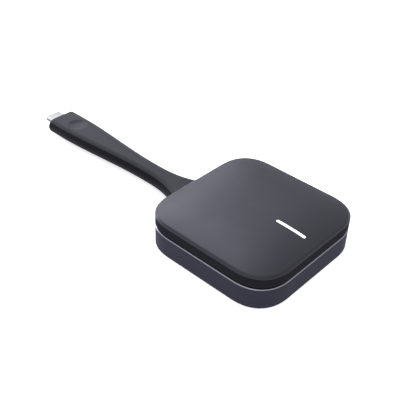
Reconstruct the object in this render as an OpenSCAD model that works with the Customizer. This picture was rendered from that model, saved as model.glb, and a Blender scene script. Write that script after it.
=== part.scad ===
// Wireless screen-casting button: a square puck with a press top, a flat
// flexible tail and a USB-C plug.
// Frame: origin at the centre of the foot's face, +Z up, the tail towards -X.

/* [Body] */
// Width of the square body over its flat sides
body_w = 60; // [56:1:80]
// Length of each corner's curve along a side
corner_r = 14.9; // [12:0.1:18]
// Fullness of the corner curve, 2 is a circle
corner_power = 2.36; // [2:0.02:2.8]
// Height of the lower shell, from its underside to its rim
shell_h = 9; // [9:0.1:14]
// Wall thickness of the lower shell
shell_wall = 1.8; // [1.4:0.1:2.2]
// Floor thickness of the lower shell
shell_floor = 1.8; // [1.6:0.1:2.4]
// Bevel along the shell's upper rim
rim_bevel = 0.3; // [0.1:0.05:0.5]
// Thickness of the rubber foot
foot_t = 1; // [0.7:0.1:1.2]
// How far the foot stands out below the shell
foot_stand = 0.4; // [0.2:0.1:0.5]
// Distance from the body's side to the foot's edge
foot_inset = 5; // [4:0.5:7]

/* [Press top] */
// Height of the open gap between the shell and the cap
gap_h = 0.7; // [0.6:0.1:1.2]
// How far the cap travels when pressed
press_travel = 0.5; // [0.3:0.05:0.5]
// Height of the cap's upright side
cap_side = 4.14; // [3.8:0.02:6]
// Height of the bevel round the cap
cap_bevel_h = 0.8; // [0.4:0.1:1.2]
// Width of the bevel round the cap
cap_bevel_w = 0.9; // [0.4:0.1:1.4]
// How much the cap's face rises to its middle
cap_crown = 1.6; // [0.4:0.1:2.4]
// Wall thickness of the cap's side
cap_wall = 1.6; // [1.3:0.1:1.8]
// Thickness of the cap's roof at its edge
cap_roof = 1.4; // [1.2:0.1:1.6]

/* [Light bar] */
// Length of the light bar
bar_len = 13.1; // [10:0.1:18]
// Width of the light bar
bar_w = 1.2; // [1:0.05:1.8]
// Distance from the body's side to the bar's end
bar_inset = 5.85; // [4.5:0.05:8]

/* [Tail] */
// Length of the tail from the body to the face of its head
tail_len = 86.8; // [80:0.2:110]
// Thickness of the tail
tail_t = 6.8; // [6.4:0.1:7.4]
// Height of the tail's centre line above the foot's face
tail_mid = 4.98; // [4.9:0.02:5.4]
// Width of the tail's head
head_w = 15.76; // [15:0.02:18]
// Width of the tail at its waist
waist_w = 9.52; // [8:0.02:11]
// Distance from the body to the near end of the waist
waist_near = 23; // [20:0.5:25]
// Length of the waist's straight stretch
waist_len = 4; // [2:0.5:8]
// Length of the head's straight stretch
head_len = 8.8; // [6:0.2:20]
// Length of the neck, which is the stretch that bends
neck_len = 20; // [16:1:24]
// Diameter of the cable inside the tail
cable_d = 3.2; // [2.8:0.1:3.6]
// Diameter of the finger dish in the head
dish_d = 8.9; // [6:0.1:11]
// Depth of the finger dish
dish_depth = 0.95; // [0.4:0.05:1]
// Distance from the head's face to the dish's centre
dish_from_end = 12.2; // [8:0.1:15]

/* [Plug] */
// Width of the USB-C plug's steel shell
usb_w = 8.25; // [8.2:0.01:8.3]
// Height of the USB-C plug's steel shell
usb_h = 2.4; // [2.36:0.01:2.44]
// How far the plug's shell stands out of the head
usb_out = 7; // [6:0.05:7]
// Wall of the plug's steel shell
usb_wall = 0.3; // [0.25:0.05:0.3]

/* [Hidden] */
$fn = 48;
POINTS_PER_CORNER = 10;
CROWN_POWER = 4;
CROWN_RINGS = [1, 0.95, 0.88, 0.8, 0.68, 0.5, 0.25];
CUT = 0.5;              // how far a cutting shape runs past a face
RUN_CLEAR = 0.05;       // radial clearance of a sliding pin
PART_CLEAR = 0.35;      // gap between pieces that move apart

// Heights, from the foot's face upwards
half = body_w / 2;
shell_z = foot_stand;
floor_z = shell_z + shell_floor;
rim_z = shell_z + shell_h;
cap_z = rim_z + gap_h;
shoulder_z = cap_z + cap_side;
crease_z = shoulder_z + cap_bevel_h;
roof_z = crease_z - cap_roof;
carrier_t = 1.2;
carrier_z = roof_z - carrier_t;
spreader_t = 0.8;
pad_t = 0.8;
chip_t = 1.2;
board_z = floor_z + spreader_t + pad_t + chip_t;
board_t = 1;
board_top = board_z + board_t;
deck_z = board_top + 2.6;
deck_t = 1.4;
deck_top = deck_z + deck_t;
frame_top = carrier_z - press_travel - PART_CLEAR;

// Inner frame and the cap's guides
frame_gap = 0.15;
frame_wall = 1.2;
frame_inset = shell_wall + frame_gap;
board_inset = frame_inset + frame_wall + 0.35;
board_half = half - board_inset;
post_r = 1.5;
post_at = half - 12.5;
guide_r = 3;
guide_z = deck_z - 1.4;
post_z = guide_z - 0.05;
retainer_r = 2.3;
retainer_t = 0.8;
board_post_hole_r = retainer_r + 0.6;
spring_r = 2.3;
spring_wire_r = 0.2;
spring_turns = 3;

// Case screws
screw_x = 6;
screw_y = half - 8;
screw_r = 1;
screw_head_r = 1.8;
screw_head_t = 1.1;
boss_r = 3;
pillar_r = 2.4;
foot_pocket_z = foot_t;
screw_shelf_z = foot_pocket_z + screw_head_t;
screw_top = deck_z + 0.6;

// Light bar and pipe
bar_x = half - bar_inset - bar_len / 2;
diffuser_flange = 0.6;
diffuser_z = roof_z + 0.7;
pipe_w = 1.6;
led_t = 0.7;
pipe_z = board_top + led_t + press_travel + 0.25;

// Switch
switch_w = 6.2;
switch_h = 1.8;
switch_top = board_top + switch_h;
cover_t = 0.2;
plunger_r = 1.6;
plunger_z = switch_top - 0.6;
plunger_top = deck_z + 0.4;
nub_r = 2;

// Cable entry
side_x = -half;
wall_in_x = side_x + shell_wall;
entry_w = 13;
entry_h = 4;
flange_w = 16;
flange_h = 2 * (tail_mid - floor_z) - 0.1;
flange_t = frame_gap + frame_wall;
flange_x = wall_in_x + flange_t;
clamp_x = flange_x + 0.6;
clamp_t = 3;
clamp_w = 15;
clamp_top = tail_mid + cable_d / 2 + 0.7;
clamp_screw_y = 4.9;
clamp_screw_r = 0.8;
connector_x = clamp_x + clamp_t + 0.9;
connector_t = 2.6;
socket_x = connector_x + connector_t;
socket_t = 3.6;
socket_w = 9;
socket_h = 3.4;
cut_x = socket_x + socket_t - 2;
cut_w = 17;

// Tail stations, as distances from the body's side
head_x = side_x - tail_len;
head_straight_x = head_x + head_len;
waist_near_x = side_x - waist_near;
waist_far_x = waist_near_x - waist_len;
neck_mid_x = waist_near_x - waist_len / 2;
neck_near_x = neck_mid_x + neck_len / 2;
neck_far_x = neck_mid_x - neck_len / 2;
root_half_w = half - corner_r;

// Plug
usb_tip_x = head_x - usb_out;
usb_back_x = usb_tip_x + 12;
tongue_w = 6.7;
tongue_h = 0.75;
tongue_depth = 6;
contact_pitch = 0.5;
contact_w = 0.25;
contact_t = 0.16;
contact_len = 9;
latch_t = 0.2;
core_w = 12;
core_t = 4.6;
core_front_x = head_x + 0.8;
core_back_x = core_front_x + 17;
card_t = 0.8;
card_w = 7;
card_back_x = core_back_x - 2.5;
jacket_end_x = core_back_x - 1.2;
ferrule_r = cable_d / 2 + 0.5;
ferrule_len = 4;
jacket_wall = 0.5;
core_r = (cable_d / 2 - jacket_wall) * 3 / 11;

// ---------- outlines ----------

// One rounded-square outline: four corners, each a superelliptic quarter
function corner_pt(a) = [pow(cos(a), 2 / corner_power), pow(sin(a), 2 / corner_power)];
function square_outline(h, r) = [
    for (q = [0:3], i = [0:POINTS_PER_CORNER])
        let (p = corner_pt(90 * i / POINTS_PER_CORNER),
             x = h - r + r * p[0],
             y = h - r + r * p[1],
             t = 90 * q)
            [x * cos(t) - y * sin(t), x * sin(t) + y * cos(t)]
];

module body_outline(inset) {
    polygon(square_outline(half - inset, corner_r - inset));
}

module body_slab(inset, z0, z1) {
    translate([0, 0, z0])
        linear_extrude(z1 - z0)
            body_outline(inset);
}

// A flat bar with round ends, along X, centred on the origin
module stadium(length, width) {
    hull()
        for (s = [-1, 1])
            translate([s * (length - width) / 2, 0])
                circle(d = width);
}

// A round-edged bar that runs along X from x0 to x1, wide in Y
module flat_bar(x0, x1, width, height) {
    translate([x0, 0, tail_mid])
        rotate([90, 0, 90])
            linear_extrude(x1 - x0)
                stadium(width, height);
}

module rod_x(x0, x1, r) {
    translate([x0, 0, tail_mid])
        rotate([0, 90, 0])
            cylinder(h = x1 - x0, r = r);
}

module rod_z(x, y, z0, z1, r) {
    translate([x, y, z0])
        cylinder(h = z1 - z0, r = r);
}

module block(x0, x1, width, z0, z1) {
    translate([x0, -width / 2, z0])
        cube([x1 - x0, width, z1 - z0]);
}

module at_posts() {
    for (sx = [-1, 1], sy = [-1, 1])
        translate([sx * post_at, sy * post_at, 0])
            children();
}

module at_case_screws() {
    for (sx = [-1, 1], sy = [-1, 1])
        translate([sx * screw_x, sy * screw_y, 0])
            children();
}

// ---------- tail ----------

// Half the tail's width at a distance along X
function ease(u) = u * u * (3 - 2 * u);
function far_part(x) = min(1, max(0, (waist_far_x - x) / (waist_far_x - head_straight_x)));
function near_part(x) = min(1, max(0, (x - waist_near_x) / waist_near));
function tail_half(x) = waist_w / 2
    + (head_w - waist_w) / 2 * ease(far_part(x))
    + (root_half_w - waist_w / 2) * (1 - sqrt(1 - pow(near_part(x), 2)));

// One ring of the tail's section, with fully round long edges
EDGE_STEPS = 7;
function section_ring(x, h, r) = [
    for (s = [1, -1], i = [0:EDGE_STEPS])
        let (a = -90 + 180 * i / EDGE_STEPS)
            [x, s * (h - r + r * cos(a)), tail_mid + s * r * sin(a)]
];
RING = 2 * (EDGE_STEPS + 1);

// A stretch of the tail between two places, closed at both ends
module tail_stretch(x0, x1, steps) {
    rings = [for (i = [0:steps])
        let (x = x0 + (x1 - x0) * i / steps)
            section_ring(x, tail_half(x), tail_t / 2)];
    points = [for (ring = rings, p = ring) p];
    sides = [for (i = [0:steps - 1], j = [0:RING - 1])
        let (k = (j + 1) % RING)
            [i * RING + j, i * RING + k, (i + 1) * RING + k, (i + 1) * RING + j]];
    near_end = [for (j = [RING - 1:-1:0]) j];
    far_end = [for (j = [0:RING - 1]) steps * RING + j];
    polyhedron(points, concat(sides, [near_end, far_end]), convexity = 4);
}

// ---------- lower body ----------

module foot_pad() {
    color("#2c2c30")
        body_slab(foot_inset, 0, foot_t);
}

module lower_shell() {
    color("#42424b")
        difference() {
            union() {
                difference() {
                    union() {
                        body_slab(0, shell_z, rim_z - rim_bevel);
                        hull() {
                            body_slab(0, rim_z - rim_bevel - 0.01, rim_z - rim_bevel);
                            body_slab(rim_bevel, rim_z - 0.01, rim_z);
                        }
                    }
                    body_slab(shell_wall, floor_z, rim_z + CUT);
                }
                at_case_screws()
                    rod_z(0, 0, floor_z, board_z, boss_r);
                block(clamp_x, clamp_x + clamp_t, clamp_w, floor_z, tail_mid);
            }
            body_slab(foot_inset, shell_z - CUT, foot_pocket_z);
            at_case_screws() {
                rod_z(0, 0, foot_pocket_z - CUT, screw_shelf_z, screw_head_r);
                rod_z(0, 0, screw_shelf_z - CUT, board_z + CUT, screw_r);
            }
            flat_bar(side_x - CUT, wall_in_x + CUT, entry_w, entry_h);
            rod_x(clamp_x - CUT, clamp_x + clamp_t + CUT, cable_d / 2);
            for (s = [-1, 1])
                rod_z(clamp_x + clamp_t / 2, s * clamp_screw_y, floor_z + 0.4,
                    tail_mid + CUT, clamp_screw_r);
        }
}

module case_screws() {
    color("#8d8f94")
        at_case_screws()
            difference() {
                union() {
                    rod_z(0, 0, foot_pocket_z, screw_shelf_z, screw_head_r);
                    rod_z(0, 0, screw_shelf_z, screw_top, screw_r);
                }
                translate([0, 0, foot_pocket_z - CUT])
                    linear_extrude(CUT + 0.6)
                        for (t = [0, 90])
                            rotate(t)
                                square([2, 0.4], center = true);
            }
}

module mid_frame() {
    color("#101013")
        difference() {
            union() {
                difference() {
                    body_slab(frame_inset, floor_z, frame_top);
                    body_slab(frame_inset + frame_wall, floor_z - CUT, frame_top + CUT);
                }
                body_slab(frame_inset + frame_wall / 2, deck_z, deck_top);
                at_posts()
                    rod_z(0, 0, guide_z, deck_top, guide_r);
                at_case_screws()
                    rod_z(0, 0, board_top, deck_top, pillar_r);
            }
            at_posts()
                rod_z(0, 0, guide_z - CUT, deck_top + CUT, post_r + RUN_CLEAR);
            at_case_screws()
                rod_z(0, 0, board_top - CUT, screw_top, screw_r);
            rod_z(0, 0, deck_z - CUT, deck_top + CUT, nub_r + PART_CLEAR);
            translate([bar_x, 0, deck_z - CUT])
                linear_extrude(deck_t + 2 * CUT)
                    stadium(bar_len + 2 * PART_CLEAR, pipe_w + 2 * PART_CLEAR);
            block(wall_in_x - CUT, flange_x + CUT, flange_w, floor_z - CUT,
                tail_mid + flange_h / 2);
        }
}

// ---------- electronics ----------

module main_board() {
    color("#1c5a3a")
        difference() {
            body_slab(board_inset, board_z, board_top);
            at_posts()
                rod_z(0, 0, board_z - CUT, board_top + CUT, board_post_hole_r);
            at_case_screws()
                rod_z(0, 0, board_z - CUT, board_top + CUT, screw_r);
            block(side_x, cut_x, cut_w, board_z - CUT, board_top + CUT);
        }
}

module chip(x, y, w, d, z0, z1) {
    translate([x - w / 2, y - d / 2, z0])
        cube([w, d, z1 - z0]);
}

module processor_chip() {
    color("#232327")
        chip(2, 0, 12, 12, board_z - chip_t, board_z);
}

module memory_chips() {
    color("#232327")
        for (s = [-1, 1])
            chip(-1, s * 11.5, 6, 8, board_z - 1, board_z);
}

module shield_can() {
    color("#b9bbbf")
        difference() {
            chip(0, -9.5, 18, 8, board_top, board_top + 1.8);
            chip(0, -9.5, 17.6, 7.6, board_top - CUT, board_top + 1.6);
        }
}

module radio_module() {
    color("#c4c6ca")
        union() {
            chip(0, 9.5, 18, 8, board_top, board_top + 0.6);
            chip(0, 9.5, 15, 7, board_top + 0.6, board_top + 1.9);
        }
}

module antennas() {
    color("#d8c9a0")
        for (s = [-1, 1])
            chip(board_half - 3, s * 9, 2, 8, board_top, board_top + 1.2);
}

module passive_parts() {
    color("#a08a6a")
        for (s = [-1, 1], i = [-4:4])
            chip(2 * i, s * 4.4, 0.5, 1, board_top, board_top + 0.5);
}

module crystal() {
    color("#c9cbd0")
        chip(-6.5, 0, 3.2, 2.5, board_top, board_top + 0.8);
}

module status_leds() {
    color("#f4f0d8")
        for (i = [-1.5:1.5])
            chip(bar_x + 3.2 * i, 0, 1.6, 0.8, board_top, board_top + led_t);
}

module heat_spreader() {
    color("#a7a9ac")
        chip(3, 0, 22, 26, floor_z, floor_z + spreader_t);
}

module thermal_pad() {
    color("#8fa7b8")
        chip(2, 0, 12, 12, floor_z + spreader_t, board_z - chip_t);
}

module switch_body() {
    color("#26262a")
        difference() {
            chip(0, 0, switch_w, switch_w, board_top, switch_top);
            rod_z(0, 0, plunger_z - press_travel - 0.1, switch_top + CUT,
                plunger_r + RUN_CLEAR);
        }
}

module switch_cover() {
    color("#c0c2c6")
        difference() {
            chip(0, 0, switch_w, switch_w, switch_top, switch_top + cover_t);
            rod_z(0, 0, switch_top - CUT, switch_top + CUT, plunger_r + RUN_CLEAR);
        }
}

module switch_plunger() {
    color("#d9d4c4")
        rod_z(0, 0, plunger_z, plunger_top, plunger_r);
}

module board_socket() {
    color("#e6e2d6")
        difference() {
            block(socket_x, socket_x + socket_t, socket_w, tail_mid - socket_h / 2,
                board_top + 1);
            block(cut_x, socket_x + socket_t + CUT, socket_w + 2 * CUT, board_z, board_top);
        }
}

module cable_connector() {
    color("#d8d4c8")
        block(connector_x, socket_x, socket_w - 1, tail_mid - socket_h / 2,
            tail_mid + socket_h / 2);
}

module cable_clamp() {
    color("#8a8c90")
        difference() {
            block(clamp_x, clamp_x + clamp_t, clamp_w, tail_mid, clamp_top);
            rod_x(clamp_x - CUT, clamp_x + clamp_t + CUT, cable_d / 2);
            for (s = [-1, 1])
                rod_z(clamp_x + clamp_t / 2, s * clamp_screw_y, tail_mid - CUT,
                    clamp_top + CUT, clamp_screw_r);
        }
}

module clamp_screws() {
    color("#8d8f94")
        for (s = [-1, 1])
            translate([clamp_x + clamp_t / 2, s * clamp_screw_y, 0]) {
                rod_z(0, 0, floor_z + 0.4, clamp_top, clamp_screw_r);
                rod_z(0, 0, clamp_top, clamp_top + 0.6, 1.4);
            }
}

// ---------- press top ----------

// The cap's outer form: an upright side, a bevel and a crowned face
module cap_form() {
    face_half = half - cap_bevel_w;
    face_r = corner_r - cap_bevel_w;
    hull() {
        body_slab(0, cap_z, shoulder_z);
        for (s = CROWN_RINGS)
            translate([0, 0, crease_z - 0.01 + cap_crown * (1 - pow(s, CROWN_POWER))])
                linear_extrude(0.01)
                    scale(s)
                        polygon(square_outline(face_half, face_r));
    }
}

module bar_hole(z0, z1, grow) {
    translate([bar_x, 0, z0])
        linear_extrude(z1 - z0)
            stadium(bar_len + 2 * grow, bar_w + 2 * grow);
}

module top_cap() {
    color("#5c5c66")
        difference() {
            cap_form();
            body_slab(cap_wall, cap_z - CUT, roof_z);
            bar_hole(diffuser_z - CUT, crease_z + cap_crown + CUT, 0);
            bar_hole(roof_z - CUT, diffuser_z, diffuser_flange);
            for (sx = [-1, 1], sy = [-1, 1])
                rod_z(sx * 8, sy * screw_y, roof_z - CUT, roof_z + 1.2, 0.7);
        }
}

module light_bar() {
    color("white")
        union() {
            bar_hole(roof_z, diffuser_z, diffuser_flange);
            intersection() {
                bar_hole(diffuser_z, crease_z + cap_crown, 0);
                cap_form();
            }
        }
}

module light_pipe() {
    color("#e8f0f4")
        translate([bar_x, 0, pipe_z])
            linear_extrude(roof_z - pipe_z)
                stadium(bar_len, pipe_w);
}

module cap_carrier() {
    color("#2a2a2e")
        difference() {
            union() {
                body_slab(cap_wall + 0.3, carrier_z, roof_z);
                at_posts()
                    rod_z(0, 0, post_z, carrier_z, post_r);
                rod_z(0, 0, plunger_top, carrier_z, nub_r);
            }
            translate([bar_x, 0, carrier_z - CUT])
                linear_extrude(carrier_t + 2 * CUT)
                    stadium(bar_len, pipe_w);
            at_posts()
                rod_z(0, 0, post_z - CUT, post_z + 3, 0.6);
            for (sx = [-1, 1], sy = [-1, 1])
                rod_z(sx * 8, sy * screw_y, carrier_z - CUT, roof_z + CUT, 0.7);
        }
}

// Four small screws that hold the carrier to the cap's roof
module carrier_screws() {
    color("#8d8f94")
        for (sx = [-1, 1], sy = [-1, 1])
            translate([sx * 8, sy * screw_y, 0]) {
                rod_z(0, 0, carrier_z, roof_z + 1.2, 0.7);
                rod_z(0, 0, carrier_z - 0.5, carrier_z, 1.3);
            }
}

// Screws whose heads stop the cap's posts under the guides
module retaining_screws() {
    color("#8d8f94")
        at_posts() {
            rod_z(0, 0, post_z, post_z + 3, 0.6);
            rod_z(0, 0, post_z - retainer_t, post_z, retainer_r);
        }
}

// A coil spring that stands on the deck round each post
module coil_spring(z0, z1) {
    rings = 20 * spring_turns;
    sides = 6;
    rise = z1 - z0 - 2 * spring_wire_r;
    points = [for (i = [0:rings], j = [0:sides - 1])
        let (a = 360 * spring_turns * i / rings,
             b = 360 * j / sides,
             r = spring_r + spring_wire_r * cos(b))
            [r * cos(a), r * sin(a),
                z0 + spring_wire_r + rise * i / rings + spring_wire_r * sin(b)]];
    faces = [for (i = [0:rings - 1], j = [0:sides - 1])
        let (k = (j + 1) % sides)
            [i * sides + j, i * sides + k, (i + 1) * sides + k, (i + 1) * sides + j]];
    near_end = [for (j = [sides - 1:-1:0]) j];
    far_end = [for (j = [0:sides - 1]) rings * sides + j];
    polyhedron(points, concat(faces, [near_end, far_end]), convexity = 8);
}

module return_springs() {
    color("#b5b7bb")
        at_posts()
            coil_spring(deck_top, carrier_z);
}

// ---------- tail and cable ----------

module tail_root() {
    color("#33333a")
        difference() {
            union() {
                tail_stretch(side_x, neck_near_x, 14);
                flat_bar(side_x - 1, wall_in_x, entry_w, entry_h);
                flat_bar(wall_in_x, flange_x, flange_w - 0.4, flange_h);
            }
            rod_x(neck_near_x - CUT, flange_x + CUT, cable_d / 2);
        }
}

module tail_neck() {
    color("#33333a")
        difference() {
            tail_stretch(neck_near_x, neck_far_x, 12);
            rod_x(neck_far_x - CUT, neck_near_x + CUT, cable_d / 2);
        }
}

module plug_envelope(x0, x1) {
    flat_bar(x0, x1, core_w, core_t);
}

module tail_head() {
    dish_r = (dish_d * dish_d / 4 + dish_depth * dish_depth) / (2 * dish_depth);
    color("#33333a")
        difference() {
            tail_stretch(neck_far_x, head_x, 24);
            rod_x(core_back_x - CUT, neck_far_x + CUT, cable_d / 2);
            rod_x(core_back_x - CUT, core_back_x + ferrule_len, ferrule_r);
            plug_envelope(core_front_x, core_back_x);
            flat_bar(head_x - CUT, core_front_x + CUT, usb_w, usb_h);
            translate([head_x + dish_from_end, 0,
                tail_mid + tail_t / 2 + dish_r - dish_depth])
                sphere(r = dish_r, $fn = 64);
        }
}

module cable_jacket() {
    color("#1d1d20")
        difference() {
            rod_x(jacket_end_x, connector_x - 0.6, cable_d / 2);
            rod_x(jacket_end_x - CUT, connector_x, cable_d / 2 - jacket_wall);
        }
}

module cable_cores() {
    color("#b06a3a")
        for (i = [0:6])
            let (r = i == 0 ? 0 : 2.3 * core_r)
                translate([0, r * cos(60 * i), r * sin(60 * i)])
                    rod_x(card_back_x, connector_x, core_r);
}

// ---------- plug ----------

module crimp_ferrule() {
    color("#b8babd")
        difference() {
            rod_x(core_back_x, core_back_x + ferrule_len, ferrule_r);
            rod_x(core_back_x - CUT, core_back_x + ferrule_len + CUT, cable_d / 2);
        }
}

module plug_card(x0, x1) {
    block(x0, x1, card_w, tail_mid - card_t / 2, tail_mid + card_t / 2);
}

module marker_form() {
    chip(usb_back_x + 3.4, 0, 2.4, 2.4, tail_mid + card_t / 2, tail_mid + card_t / 2 + 0.6);
}

module plug_core() {
    color("#d6d6d2")
        difference() {
            plug_envelope(core_front_x, core_back_x);
            flat_bar(core_front_x - CUT, usb_back_x, usb_w, usb_h);
            plug_card(usb_back_x - CUT, card_back_x);
            marker_form();
            rod_x(card_back_x - CUT, core_back_x + CUT, cable_d / 2);
        }
}

module plug_board() {
    color("#1c5a3a")
        plug_card(usb_back_x, card_back_x);
}

module marker_chip() {
    color("#232327")
        marker_form();
}

module usb_shell() {
    color("#d9dade")
        difference() {
            flat_bar(usb_tip_x, usb_back_x, usb_w, usb_h);
            flat_bar(usb_tip_x - CUT, usb_back_x + CUT, usb_w - 2 * usb_wall,
                usb_h - 2 * usb_wall);
        }
}

module contact_bars() {
    for (side = [-1, 1], i = [-5.5:5.5])
        translate([usb_tip_x + 1.2, i * contact_pitch - contact_w / 2,
            tail_mid + side * (tongue_h + contact_t) / 2 - contact_t / 2])
            cube([contact_len, contact_w, contact_t]);
}

module latch_bars() {
    for (s = [-1, 1])
        translate([usb_tip_x + 1.6, s * (tongue_w + latch_t) / 2 - latch_t / 2,
            tail_mid - 0.3])
            cube([7.5, latch_t, 0.6]);
}

module usb_insulator() {
    color("#1a1a1c")
        difference() {
            flat_bar(usb_tip_x + 0.3, usb_back_x, usb_w - 2 * usb_wall, usb_h - 2 * usb_wall);
            block(usb_tip_x - CUT, usb_tip_x + 0.3 + tongue_depth, tongue_w,
                tail_mid - tongue_h / 2, tail_mid + tongue_h / 2);
            contact_bars();
            latch_bars();
        }
}

module usb_contacts() {
    color("#d9b45a")
        contact_bars();
}

module usb_latches() {
    color("#c0c2c6")
        latch_bars();
}

foot_pad();
lower_shell();
case_screws();
mid_frame();
main_board();
processor_chip();
memory_chips();
shield_can();
radio_module();
antennas();
passive_parts();
crystal();
status_leds();
heat_spreader();
thermal_pad();
switch_body();
switch_cover();
switch_plunger();
board_socket();
cable_connector();
cable_clamp();
clamp_screws();
return_springs();
top_cap();
light_bar();
light_pipe();
cap_carrier();
carrier_screws();
retaining_screws();
tail_root();
tail_neck();
tail_head();
cable_jacket();
cable_cores();
crimp_ferrule();
plug_core();
plug_board();
marker_chip();
usb_shell();
usb_insulator();
usb_contacts();
usb_latches();
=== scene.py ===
import math

import bmesh
import bpy
from bpy.props import FloatProperty, FloatVectorProperty, IntProperty, PointerProperty
from mathutils import Matrix, Vector


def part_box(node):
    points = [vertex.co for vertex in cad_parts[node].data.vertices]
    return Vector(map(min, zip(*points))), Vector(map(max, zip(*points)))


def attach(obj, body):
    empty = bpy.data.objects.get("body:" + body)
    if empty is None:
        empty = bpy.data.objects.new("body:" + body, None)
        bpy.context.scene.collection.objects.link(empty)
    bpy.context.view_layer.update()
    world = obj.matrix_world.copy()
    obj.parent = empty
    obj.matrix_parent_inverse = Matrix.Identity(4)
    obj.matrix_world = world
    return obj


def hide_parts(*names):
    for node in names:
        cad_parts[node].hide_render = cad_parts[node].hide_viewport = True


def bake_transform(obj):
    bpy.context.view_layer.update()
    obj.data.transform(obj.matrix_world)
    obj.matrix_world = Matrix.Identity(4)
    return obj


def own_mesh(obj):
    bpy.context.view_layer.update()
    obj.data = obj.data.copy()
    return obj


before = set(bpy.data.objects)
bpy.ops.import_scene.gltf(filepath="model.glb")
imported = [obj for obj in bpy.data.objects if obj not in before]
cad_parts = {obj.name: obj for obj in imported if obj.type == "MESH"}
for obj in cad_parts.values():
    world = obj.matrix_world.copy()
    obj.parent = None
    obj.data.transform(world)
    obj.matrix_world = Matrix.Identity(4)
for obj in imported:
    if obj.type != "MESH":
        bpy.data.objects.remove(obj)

bl_info = {
    "name": "Casting button",
    "version": (1, 0, 0),
    "blender": (4, 5, 0),
    "location": "View3D > Sidebar > Casting button",
    "description": "Builds the shells, tail, plug and finishes of a screen-casting button",
    "category": "Object",
}

MM = 0.001
# Two points closer than this count as being at the same place
EPS = 0.00002


# ---------- sizes from the frame ----------

SHELL_LO, SHELL_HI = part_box("lower_shell")
CAP_LO, CAP_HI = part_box("top_cap")
FOOT_LO, FOOT_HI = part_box("foot_pad")
FRAME_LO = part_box("mid_frame")[0]
NECK_LO, NECK_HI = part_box("tail_neck")
HEAD_LO, HEAD_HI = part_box("tail_head")
USB_LO, USB_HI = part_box("usb_shell")
JACKET_LO, JACKET_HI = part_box("cable_jacket")
CORES_LO, CORES_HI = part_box("cable_cores")
BAR_LO, BAR_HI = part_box("light_bar")
CARRIER_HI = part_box("cap_carrier")[1]
SPRING_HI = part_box("return_springs")[1]
HALF = SHELL_HI.x
TAIL_MID = (HEAD_LO.z + HEAD_HI.z) / 2
TAIL_T = NECK_HI.z - NECK_LO.z


# ---------- fixed details ----------

# Segments of the puck's corners, the foot's corners and each long edge of a stadium
CORNER_STEPS = 26
FOOT_CORNER_STEPS = 16
STADIUM_STEPS = 12
# Rings that build up the cap's crown, how they crowd towards its edge and how far in they go
CROWN_RINGS = 26
CROWN_CROWDING = 1.15
CROWN_REACH = 0.97
# Small roundings of the cap: where the side meets the bevel, the bevel the face, and below
SHOULDER_ROUND = 0.14 * MM
CREASE_ROUND = 0.08 * MM
HEM_ROUND = 0.25 * MM
# How far below the shoulder the finish of the cap's side begins
SIDE_MARGIN = 0.1 * MM
# Segments of the light lens's round ends, and the clearance between it and its slot
LENS_STEPS = 10
SLOT_GAP = 0.02 * MM
# The foot's rounded edge and its grooves: each step scales the rings by one of the ratios
FOOT_ROUND = 0.2 * MM
GROOVES = 4
GROOVE_DEPTH = 0.15 * MM
GROOVE_LAND, GROOVE_FLOOR, GROOVE_SLANT = 0.93, 0.975, 0.995
# Where the tail is cut across: even steps along the strap, finer ones in the flare
STATION_STEP = 1.5 * MM
FLARE_FROM = 12 * MM
FLARE_END = 0.3 * MM
FLARE_STEP = 0.15 * MM
FLARE_GROWTH = 0.09
# Segments and rings of the sphere that hollows out the finger dish
DISH_SEGMENTS, DISH_RINGS = 96, 128
# The cable: points round it, steps along it, its jacket's ledge and its cores' pinched start
CABLE_POINTS = 32
CABLE_STEP = 2 * MM
JACKET_LEDGE = 0.55 * MM
CORE_RECESS = 0.3 * MM
CORE_PINCH = 0.1 * MM
# Wall that closes the plug's mouth at its far end
PLUG_BACK = 0.2 * MM
# Height of the inner frame's deck, which the springs stand on
FRAME_DECK_Z = 10.0 * MM
# Points round the spring's wire and steps in each of its turns
WIRE_POINTS = 10
TURN_STEPS = 24
# Widest angle between two faces that are still shaded as one smooth surface, in degrees
PLASTIC_SMOOTH = 30
STRAP_SMOOTH = 16


# ---------- properties ----------

def length(label, default, description):
    """One size property, in metres, shown in the scene's units"""
    return FloatProperty(name=label, description=description, default=default,
                         min=0.0, unit="LENGTH", precision=5)


def colour(label, hex_value, description):
    """One colour property, given as an sRGB hex value"""
    return FloatVectorProperty(name=label, description=description, subtype="COLOR",
                               size=3, min=0.0, max=1.0, default=linear(hex_value))


def linear(hex_value):
    """An sRGB hex colour as linear red, green and blue"""
    channels = [int(hex_value[i:i + 2], 16) / 255 for i in (1, 3, 5)]
    return [c / 12.92 if c <= 0.04045 else ((c + 0.055) / 1.055) ** 2.4 for c in channels]


class PuckSizes(bpy.types.PropertyGroup):
    """Sizes of the two shells"""
    corner: length("Corner", 14.9 * MM, "Length of each corner's curve along a side")
    fullness: FloatProperty(name="Corner fullness", default=0.556, min=0.3, max=0.9,
                            description="Bevel profile of the corners; 0.5 is a circle")
    wall: length("Shell wall", 1.8 * MM, "Wall thickness of the lower shell")
    rim_bevel: length("Rim bevel", 0.3 * MM, "Width of the bright bevel along the rim")
    base_round: length("Base round", 0.45 * MM, "Rounding of the shell's lower edge")
    bevel_h: length("Cap bevel height", 0.8 * MM, "Height of the bevel round the cap")
    bevel_w: length("Cap bevel width", 0.9 * MM, "Width of the bevel round the cap")
    crown: length("Crown", 1.6 * MM, "Rise of the cap's face to its middle")
    cap_wall: length("Cap wall", 1.6 * MM, "Wall thickness of the cap's side")
    foot_inset: length("Foot inset", 5.0 * MM, "Distance from the side to the foot")
    bar_w: length("Bar width", 1.2 * MM, "Width of the light bar")
    bar_len: length("Bar length", 13.1 * MM, "Length of the light bar")


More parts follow.
